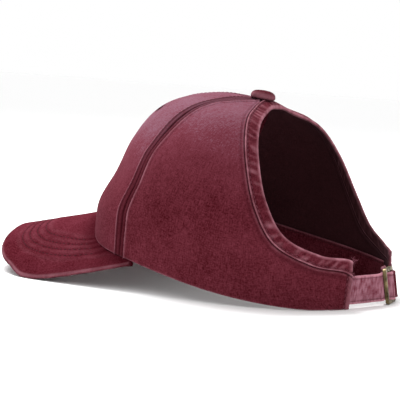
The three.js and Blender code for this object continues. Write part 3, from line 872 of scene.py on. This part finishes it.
def makeTape(name, share, flip=False):
    # bias tape that covers a seam on the inside
    look = tapeLook
    start = look["sideFrom"] if share else look["centreFrom"]
    us, vs, shape = flatGrid(edgeDense(look["columns"], 0.4),
                             np.linspace(start, look["to"], look["rows"] + 1))
    width = look["width"] * np.minimum(1, (look["taperFrom"] - vs) * look["taper"])
    base = moveRound(frontDirection(np.full_like(vs, share), vs), seamAzimuth(vs) * share,
                     (us - 0.5) * width)
    ground = crownPoint(base, -crown["thickness"] - look["gap"]).reshape(shape)
    across, rest = alongLengths(ground, 1)
    edge = np.minimum(across, rest)
    drop = roll(edge, look["edgeRadius"]) * look["edgeDrop"]
    away = base.reshape(shape)
    outer = ground - away * drop[..., None]
    inner = ground - away * (look["thickness"] - drop + look["edgeRise"] * hill(edge, 0, 2))[..., None]
    lengths = (across, alongLengths(ground, 0)[0])
    finishPiece(sheetPiece(name, outer, inner, lengths, {}, [bandCloth], None, flip), "sweatband_twill")


makeTape("centreTape", 0.0)
makeTape("leftTape", 1.0)
makeTape("rightTape", 1.0, True)

print("stage: brim")
brimTable = {
    "along": [0, 0.2, 0.4, 0.6, 0.8], "side": [0, 0.34, 0.65, 0.88, 1],
    "forward": [1, 0.93, 0.72, 0.44, 0.05], "height": [1, 0.75, 0.48, 0.24, 0],
}
brimLook = {
    **brimShape, "columns": 150, "rows": 84, "rowPower": 1.25, "edgeRadius": 1.15, "edgeDrop": 1.02,
    "lowest": 0.02,
    "firstRow": 12, "rowSpacing": 3.7, "rowCount": 4, "rowDepth": 0.3, "quilting": 0.12, "rootRise": 0.75,
    "rowRounding": 3.2, "rowExactAt": 17, "rearShare": 0.6, "rearFrom": 0.2, "rearTo": 1.05, "wave": 0.35,
    "waveSize": 22, "lowFade": 0.44, "topFade": 0.2, "topWidth": 46, "rootShade": 0.75, "rootReach": 9,
}


def brimEdge(along):
    look = brimShape
    end = brimRim(np.array([float(look["endAzimuth"])]), look["endWidth"])[0]
    side = brimTable["side"] + [end[0] / look["halfWidth"]]
    forward = brimTable["forward"] + [(frontFace - end[1]) / look["length"]]
    height = brimTable["height"] + [end[2] / look["tipHeight"]]
    at = brimTable["along"] + [1]
    mirrored = lambda values, sign: [sign * value for value in values[:0:-1]] + values
    value = lambda column, sign: smoothValue(mirrored(at, -1), mirrored(column, sign), along)
    x = look["halfWidth"] * value(side, -1)
    y = frontFace - look["length"] * value(forward, 1)
    return np.stack([x, y, np.maximum(0, look["tipHeight"] * value(height, 1))], -1)


def brimDistances(ground):
    # distance from the brim's edge, and the rounder distance that the stitch rows keep
    look = brimLook
    edgeLine = brimEdge(np.linspace(-1, 1, 700))
    step = np.linalg.norm(np.diff(edgeLine, axis=0), axis=1).mean()
    soft = look["rowRounding"]
    exact = math.sqrt(2 * math.pi * look["rowExactAt"] * soft)
    flat = ground.reshape(-1, 3)
    near, rounded = [], []
    for part in np.array_split(flat, 40):
        distance = np.linalg.norm(part[:, None, :] - edgeLine[None], axis=-1)
        near.append(distance.min(1))
        rounded.append(-soft * np.log(np.exp(-distance / soft).sum(1) * step / exact))
    back = (flat[:, 1] - frontFace) / look["length"] + 1
    beside = smoothValue([look["rearFrom"], look["rearTo"]], [1, look["rearShare"]], back)
    shape = ground.shape[:2]
    return np.concatenate(near).reshape(shape), (np.concatenate(rounded) * beside).reshape(shape)


def brimStitchLine(rowAt, outer, at):
    # where the columns of the brim first cross a stitch row, from the edge inwards
    line = []
    for distance, points in zip(rowAt[::-1].T, outer[::-1].transpose(1, 0, 2)):
        past = np.nonzero(distance > at)[0]
        if not len(past) or past[0] == 0 or len(distance) - past[0] < 9:
            continue
        i = past[0]
        t = (at - distance[i - 1]) / (distance[i] - distance[i - 1])
        line.append(points[i - 1] * (1 - t) + points[i] * t)
    return np.array(line)


def makeBrim():
    look = brimLook
    v = 1 - (1 - np.linspace(0, 1, look["rows"] + 1)) ** look["rowPower"]
    us, vs, shape = flatGrid(np.linspace(-1, 1, look["columns"] + 1), v)
    root = brimRim(look["endAzimuth"] * us, -crown["thickness"])
    ground = (root * (1 - vs)[:, None] + brimEdge(us) * vs[:, None]).reshape(shape)
    fromEdge, rowAt = brimDistances(ground)
    run, out = (alongLengths(ground, axis)[0] for axis in (1, 0))
    normal = unit(np.cross(np.gradient(ground, axis=1), np.gradient(ground, axis=0)) + 1e-12)
    normal = normal * np.sign(normal[..., 2:3] + 1e-9)
    relief = look["wave"] * cloudAt(ground, look["waveSize"], 6.6) * np.clip(fromEdge / 8, 0, 1)
    relief += 0.1 * cloudAt(ground, 3.5, 7.7) * hill(rowAt, look["firstRow"] + 6, 11)
    relief += look["rootRise"] * hill(out, 0, 3.2)
    ridge = 0.8 * hill(rowAt, look["firstRow"] - 2.2, 1.2)
    shadedGroove = np.zeros(shape[:2])
    rows = look["firstRow"] + look["rowSpacing"] * np.arange(look["rowCount"])
    for at in rows:
        between = at + look["rowSpacing"] / 2
        relief += look["quilting"] * hill(rowAt, between, 1.1) - look["rowDepth"] * hill(rowAt, at, 0.62)
        shadedGroove = np.maximum(shadedGroove, hill(rowAt, at, 0.6))
        ridge = np.maximum(ridge, hill(rowAt, between, 1.0))
    drop = roll(fromEdge, look["edgeRadius"]) * look["edgeDrop"]
    outer = ground + np.array([0, 0, look["thickness"]]) + normal * (relief - drop)[..., None]
    inner = ground + normal * (drop - 0.12 * shadedGroove)[..., None]
    inner[..., 2] = np.maximum(inner[..., 2], look["lowest"])
    patches = 0.5 + 0.5 * cloudAt(ground, 7, 5.5)
    wear = 0.38 * hill(fromEdge, 0.1, 0.7) * (0.4 + patches) + 0.09 * ridge * patches
    # painted shadow where the crown's rim overhangs the brim's root, and painted shade in the stitch rows
    paintedShade = 0.26 * shadedGroove + look["rootShade"] * hill(out, 0, look["rootReach"])
    fade = look["lowFade"] + look["topFade"] * hill(ground[..., 0], 0, look["topWidth"])
    marks = {"wear": np.clip(wear, 0, 1), "shadedGroove": np.clip(paintedShade, 0, 1), "fade": fade}
    finishPiece(sheetPiece("curvedBrim", outer, inner, (run, out), marks, [brimCloth]), "washed_cotton",
                "brim")
    stitchLines["brim"] += [brimStitchLine(rowAt, outer, at) for at in rows]


makeBrim()

print("stage: button")
buttonLook = {
    "radius": 7.75, "height": 5.2, "tilt": 7, "sides": 96, "pleats": 14, "pleat": 0.12, "lump": 0.12,
    "rim": 0.3, "fade": 0.16,
    "profile": [(0.35, -0.05), (0.7, -0.02), (0.9, 0.0), (0.985, 0.1), (1.0, 0.24), (0.99, 0.4),
                (0.95, 0.56),
                (0.86, 0.73), (0.7, 0.87), (0.5, 0.95), (0.25, 0.99)],
}


def makeButton():
    look = buttonLook
    angles = circle(look["sides"])
    points = [(0, 0, 0)]
    for share, rise in look["profile"]:
        pleat = look["pleat"] * np.cos(angles * look["pleats"]) * (rise < 0.6) * (share > 0.8)
        radius = look["radius"] * share + pleat
        height = look["height"] * rise + look["lump"] * np.cos(2 * angles + 0.6) * share * rise
        points += list(zip(radius * np.cos(angles), radius * np.sin(angles), height))
    points.append((0, 0, look["height"]))
    count, last = look["sides"], len(points) - 1
    faces = [[1 + corner for corner in face] for face in ringFaces(len(look["profile"]), count)]
    for step in range(count):
        after = (step + 1) % count
        faces += [[0, 1 + after, 1 + step], [last - count + step, last - count + after, last]]
    tilt = math.radians(look["tilt"])
    turn = np.array([[1, 0, 0], [0, math.cos(tilt), math.sin(tilt)], [0, -math.sin(tilt), math.cos(tilt)]])
    seat = crown["centreHeight"] + crown["apexRise"] + crown["clearance"]
    seat += (opening["thickness"] - crown["thickness"]) / 2
    flat = np.array(points)
    piece = solidPiece("topButton", flat @ turn.T + np.array([0, 0, seat]), faces, crownCloth)
    reach = np.hypot(flat[:, 0], flat[:, 1])
    addValues(piece.data, "wear", look["rim"] * hill(reach, look["radius"], 1.1))
    # painted shade on the button's low underside
    addValues(piece.data, "shadedGroove", 0.5 * (flat[:, 2] < 0.6))
    addValues(piece.data, "fade", np.full(len(flat), look["fade"]))
    corners = np.zeros(len(piece.data.loops), np.int32)
    piece.data.loops.foreach_get("vertex_index", corners)
    addCloth(piece.data, flat[:, :2], corners)
    finishPiece(piece, "washed_cotton", "top_button")


makeButton()

print("stage: closure")
closure = {
    "strapWidth": 16.8, "strapThickness": 1.6, "strapStart": 149.5, "strapEnd": 206, "strapFade": 0.85,
    "strapRubbed": 0.3, "tabStart": 210.5, "tabWidth": 16.4, "tabThickness": 1.2, "tabFade": 0.25,
    "tabRubbed": 0.03, "buckleAzimuth": 190, "buckleLength": 21, "buckleHeight": 21.5, "buckleThickness": 2,
    "buckleBar": 2.4, "lean": 10, "standOff": 1.4, "layerRoom": 0.5, "settle": 4,
    "steps": 260, "rows": 26, "edgeRadius": 0.75, "stitchAt": 1.9, "stitchGap": 4,
}
leanAngle = math.radians(closure["lean"])
strapMiddle = (closure["buckleHeight"] * math.cos(leanAngle)
               + closure["buckleThickness"] * math.sin(leanAngle)) / 2


def rearPoint(azimuth, offset):
    a = np.array([float(azimuth)])
    point = crownPoint(directionAt(a, elevationAtHeight(a, strapMiddle, offset)), offset)[0]
    return np.array([point[0], point[1], 0])


towardsTab, towardsStrap = (rearPoint(closure["buckleAzimuth"] + turn, 0) for turn in (4, -4))
buckleAlong = unit(towardsTab - towardsStrap)
buckleOut = np.array([buckleAlong[1], -buckleAlong[0], 0])
buckleCentre = rearPoint(closure["buckleAzimuth"], 0) + buckleOut * closure["standOff"]


def bucklePoint(along, out):
    return buckleCentre + buckleAlong * along + buckleOut * out


def clothUp(points):
    away = np.abs((points - buckleCentre) @ buckleAlong) / (closure["buckleLength"] / 2)
    t = np.clip((away - 1.1) / 0.9, 0, 1)
    angle = leanAngle * (1 - t * t * (3 - 2 * t))
    return np.array([0, 0, 1]) * np.cos(angle)[..., None] - buckleOut * np.sin(angle)[..., None]


def smoothPath(points, count):
    # centripetal curve through the points, resampled to equal steps
    p = np.array(points)
    p = np.vstack([2 * p[0] - p[1], p, 2 * p[-1] - p[-2]])
    dense = []
    for i in range(1, len(p) - 2):
        p0, p1, p2, p3 = p[i - 1 : i + 3]
        d0, d1, d2 = (max(1e-4, np.linalg.norm(b - a)) ** 0.5 for a, b in ((p0, p1), (p1, p2), (p2, p3)))
        m1 = ((p1 - p0) / d0 - (p2 - p0) / (d0 + d1) + (p2 - p1) / d1) * d1
        m2 = ((p2 - p1) / d1 - (p3 - p1) / (d1 + d2) + (p3 - p2) / d2) * d1
        t = np.linspace(0, 1, 40, endpoint=False)[:, None]
        dense.append(p1 + m1 * t + (3 * p2 - 3 * p1 - 2 * m1 - m2) * t ** 2
                     + (2 * p1 - 2 * p2 + m1 + m2) * t ** 3)
    dense = np.vstack(dense + [p[-2:-1]])
    run = np.concatenate([[0], np.cumsum(np.linalg.norm(np.diff(dense, axis=0), axis=1))])
    at = np.linspace(0, run[-1], count)
    return np.stack([np.interp(at, run, dense[:, k]) for k in range(3)], 1), at


def makeStrip(kind, name, node, points):
    look = closure
    thickness, width = look[kind + "Thickness"], look[kind + "Width"]
    path, run = smoothPath(points, look["steps"])
    side = np.cross(unit(np.gradient(path, axis=0)), np.array([0, 0, 1]))
    v = edgeDense(look["rows"], 0.8)
    across = width * v
    edge = np.minimum(across, width - across)[:, None] * np.ones(len(path))
    near = np.minimum(edge, np.minimum(run, run[-1] - run)[None, :])
    drop = roll(near, look["edgeRadius"]) * (thickness * 0.48 / look["edgeRadius"])
    quilt = 0.12 * hill(edge, 0.9, 0.6) - 0.16 * hill(edge, look["stitchAt"], 0.4)
    middle = path[None] + np.zeros((len(v), 1, 1))
    waves = 0.1 * cloudAt(middle + np.array([0, 0, 1]) * across[:, None, None], 6, 3.3)
    layers = []
    for offset in (thickness / 2 - drop + quilt + waves, -thickness / 2 + drop - quilt + waves):
        layer = middle + side[None] * offset[..., None]
        layer = layer + clothUp(layer) * (width * (v - 0.5))[:, None, None]
        layer[..., 2] += strapMiddle
        layers.append(layer)
    ragged = np.clip(0.8 + 0.8 * cloudAt(layers[0], 1.6, 5.1), 0, 1.3)
    blotches = cloudAt(layers[0] * np.array([1, 1, 0.5]), 1.8, 4.2)
    wear = 0.9 * hill(edge, 0.1, 1.1) * ragged + look[kind + "Rubbed"] * (1 + 1.5 * blotches)
    # painted shade along the stitch lines
    marks = {"wear": np.clip(wear, 0, 1), "shadedGroove": 0.6 * hill(edge, look["stitchAt"], 0.4),
             "fade": look[kind + "Fade"] + 0.3 * blotches}
    lengths = (np.tile(run, (len(v), 1)), np.tile(across[:, None], (1, len(path))))
    finishPiece(sheetPiece(name, *layers, lengths, marks, [strapCloth]), "washed_cotton", node)
    half, end = len(v) // 2, look["stitchGap"]
    for layer in layers:
        for part in (slice(None, half + 1), slice(half, None)):
            line = lineAt(layer[part], edge[part], look["stitchAt"], axis=0)
            stitchLines["strap"].append(line[end:-end])


def makeClosure():
    look, clear = closure, crown["clearance"]
    strap, tab, frameHalf = look["strapThickness"], look["tabThickness"], look["buckleThickness"] / 2
    seat = crown["thickness"] + clear + look["layerRoom"]
    strapOffset, tabOffset = -seat - strap / 2, -seat - tab / 2
    tailOffset = tabOffset - tab / 2 - clear - look["layerRoom"] - strap / 2
    bar = look["buckleLength"] / 2 - look["buckleBar"] / 2
    strapRise, tabRise = frameHalf + clear + strap / 2, frameHalf + clear + tab / 2
    tabFold = bar - look["buckleBar"] / 2 - clear - tab / 2
    tail = tabRise + tab / 2 + clear + strap / 2
    hem = crown["rearHemAzimuth"]
    farHem = 360 - hem
    start, end, tabStart = look["strapStart"], look["strapEnd"], look["tabStart"]
    atCrown = [(start, strapOffset), ((start + hem) / 2, strapOffset), (hem, strapOffset),
               (hem + 6, strapOffset)]
    throughBuckle = [
        (-bar - look["settle"], -strapRise), (-bar, -strapRise), (-bar * 0.8, -strapRise), (-bar * 0.5, 0),
        (-bar * 0.2, strapRise * 0.95), (0, strapRise * 1.05), (bar * 0.19, strapRise * 0.9),
        (bar * 0.42, -tail * 0.28), (bar * 0.7, -tail), (bar + 1.5, -tail - 0.4),
    ]
    atTail = [(end - 4, tailOffset), (end, tailOffset)]
    atTab = [(tabStart, tabOffset), ((tabStart + farHem) / 2, tabOffset), (farHem - 0.5, tabOffset)]
    roundBar = [
        (bar + 2.6, tabRise * 0.3), (bar + 0.8, tabRise * 1.02), (bar - 0.9, tabRise),
        (tabFold * 1.02, tabRise * 0.6), (tabFold, 0), (tabFold * 1.02, -tabRise * 0.6),
        (bar - 0.9, -tabRise),
        (bar + 1.6, -tabRise),
    ]
    rear = lambda pairs: [rearPoint(*pair) for pair in pairs]
    buckled = lambda pairs: [bucklePoint(*pair) for pair in pairs]
    makeStrip("strap", "closureStrap", "strap", rear(atCrown) + buckled(throughBuckle) + rear(atTail))
    makeStrip("tab", "buckleTab", "buckle_tab", rear(atTab) + buckled(roundBar))


makeClosure()

buckleLook = {"bevel": 0.00055, "bevelSteps": 3, "sharpFrom": 50, "weld": 0.00001, "flatWithin": 1}


def makeBuckle():
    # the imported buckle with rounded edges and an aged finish
    look = buckleLook
    work = bmesh.new()
    work.from_mesh(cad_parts["buckle"].data)
    bmesh.ops.remove_doubles(work, verts=work.verts, dist=look["weld"])
    limit = math.radians(look["flatWithin"])
    bmesh.ops.dissolve_limit(work, angle_limit=limit, verts=work.verts, edges=work.edges)
    sharp = [edge for edge in work.edges
             if len(edge.link_faces) == 2 and edge.calc_face_angle() > math.radians(look["sharpFrom"])]
    bmesh.ops.bevel(work, geom=sharp, offset=look["bevel"], segments=look["bevelSteps"], profile=0.5,
                    affect="EDGES", clamp_overlap=True)
    mesh = bpy.data.meshes.new("buckle")
    work.to_mesh(mesh)
    work.free()
    mesh.materials.append(brass)
    mesh.polygons.foreach_set("use_smooth", np.ones(len(mesh.polygons), bool))
    finishPiece(addObject("slideBuckle", mesh), "antique_brass", "buckle")


makeBuckle()

print("stage: stitches")
stitchLook = {
    "crown": {"pitch": 2.9, "length": 2.3, "radius": 0.2, "thread": "faded"},
    "binding": {"pitch": 2.9, "length": 2.3, "radius": 0.2, "thread": "faded"},
    "brim": {"pitch": 3.6, "length": 1.9, "radius": 0.4, "thread": "dark"},
    "strap": {"pitch": 2.7, "length": 2.1, "radius": 0.2, "thread": "faded"},
    "band": {"pitch": 3.0, "length": 2.4, "radius": 0.22, "thread": "dark"},
    "fray": {"pitch": 0.35, "length": 0.7, "radius": 0.085, "thread": "faded"},
}
stitchSeed = 11
stitchSockets = (("Pitch", "Float"), ("Length", "Float"), ("Radius", "Float"), ("Seed", "Int"),
                 ("Thread", "Material"))


def stitchTree():
    # one small stitch on each step of a line, laid along it
    tree = bpy.data.node_groups.new("stitchRow", "GeometryNodeTree")
    make = tree.interface.new_socket
    make(name="Line", in_out="INPUT", socket_type="NodeSocketGeometry")
    names = {name: make(name=name, in_out="INPUT", socket_type="NodeSocket" + kind).identifier
             for name, kind in stitchSockets}
    make(name="Stitches", in_out="OUTPUT", socket_type="NodeSocketGeometry")
    inputs = addNode(tree, "NodeGroupInput").outputs
    curve = addNode(tree, "GeometryNodeMeshToCurve", {"Mesh": inputs["Line"]}).outputs[0]
    spaced = addNode(tree, "GeometryNodeResampleCurve", {"Curve": curve, "Length": inputs["Pitch"]},
                     mode="LENGTH")
    tangent = addNode(tree, "GeometryNodeInputTangent").outputs[0]
    turn = addNode(tree, "FunctionNodeAlignRotationToVector", {"Vector": tangent}, axis="X").outputs[0]
    ball = addNode(tree, "GeometryNodeMeshUVSphere",
                   {"Segments": 6, "Rings": 5, "Radius": 1.0}).outputs["Mesh"]
    vary = addNode(tree, "FunctionNodeRandomValue", {2: 0.86, 3: 1.12, "Seed": inputs["Seed"]},
                   data_type="FLOAT")
    longer = times(tree, times(tree, inputs["Length"], 0.5), vary.outputs[1])
    axes = {"X": longer, "Y": inputs["Radius"], "Z": inputs["Radius"]}
    size = addNode(tree, "ShaderNodeCombineXYZ", axes).outputs[0]
    placed = addNode(tree, "GeometryNodeInstanceOnPoints", {
        "Points": spaced.outputs[0], "Instance": ball, "Rotation": turn, "Scale": size}).outputs[0]
    real = addNode(tree, "GeometryNodeRealizeInstances", {"Geometry": placed}).outputs[0]
    smooth = addNode(tree, "GeometryNodeSetShadeSmooth", {"Geometry": real}).outputs[0]
    painted = addNode(tree, "GeometryNodeSetMaterial", {"Geometry": smooth, "Material": inputs["Thread"]})
    addNode(tree, "NodeGroupOutput", {"Stitches": painted.outputs[0]})
    return tree, names


def makeStitches(tree, names, key, lines):
    look = stitchLook[key]
    points, edges = [], []
    for line in lines:
        start = len(points)
        points += toFrame(line).tolist()
        edges += [(start + i, start + i + 1) for i in range(len(line) - 1)]
    mesh = bpy.data.meshes.new(key + "Lines")
    mesh.from_pydata(points, edges, [])
    source = addObject(key + "Lines", mesh)
    modifier = source.modifiers.new("stitches", "NODES")
    modifier.node_group = tree
    for name in ("Pitch", "Length", "Radius"):
        modifier[names[name]] = look[name.lower()] * mm
    modifier[names["Seed"]] = stitchSeed
    modifier[names["Thread"]] = threads[look["thread"]]
    bpy.context.view_layer.update()
    plain = bpy.data.meshes.new_from_object(source.evaluated_get(bpy.context.evaluated_depsgraph_get()))
    source.modifiers.remove(modifier)
    bpy.data.objects.remove(source)
    finishPiece(addObject(key + "Stitches", plain), "embroidery_thread")


frayLook = {"count": 26, "length": 1.8, "spread": 2.0, "seed": 4, "firstAt": 0.25, "lastAt": 7.6,
            "points": 7}


def makeFray():
    # loose ends of thread at the raw ends of the binding
    look = frayLook
    chance = np.random.default_rng(look["seed"])
    placeAt = lambda around, width: crownPoint(openingDirection(np.array([around]), np.array([width])))[0]
    t = np.linspace(0, 1, look["points"])[:, None]
    for side in (-1, 1):
        for width in (look["firstAt"], look["lastAt"]):
            around = bindingEnd(width) * side
            root = placeAt(around, width)
            back = unit(root - placeAt(around - 4 * side, width))
            for strand in range(look["count"]):
                start = root + chance.uniform(-1, 1, 3) * np.array([0.5, 0.5, look["spread"]])
                away = back * chance.uniform(0.5, 1) + chance.normal(0, 0.45, 3) + np.array([0, 0, 0.5])
                bend = chance.normal(0, 0.4, 3)
                reach = look["length"] * chance.uniform(0.4, 1)
                stitchLines["fray"].append(start + (unit(away) * t + bend * t ** 2) * reach)


makeFray()
stitchGroup, stitchInputs = stitchTree()
for key, lines in stitchLines.items():
    makeStitches(stitchGroup, stitchInputs, key, [line for line in lines if len(line) > 2])
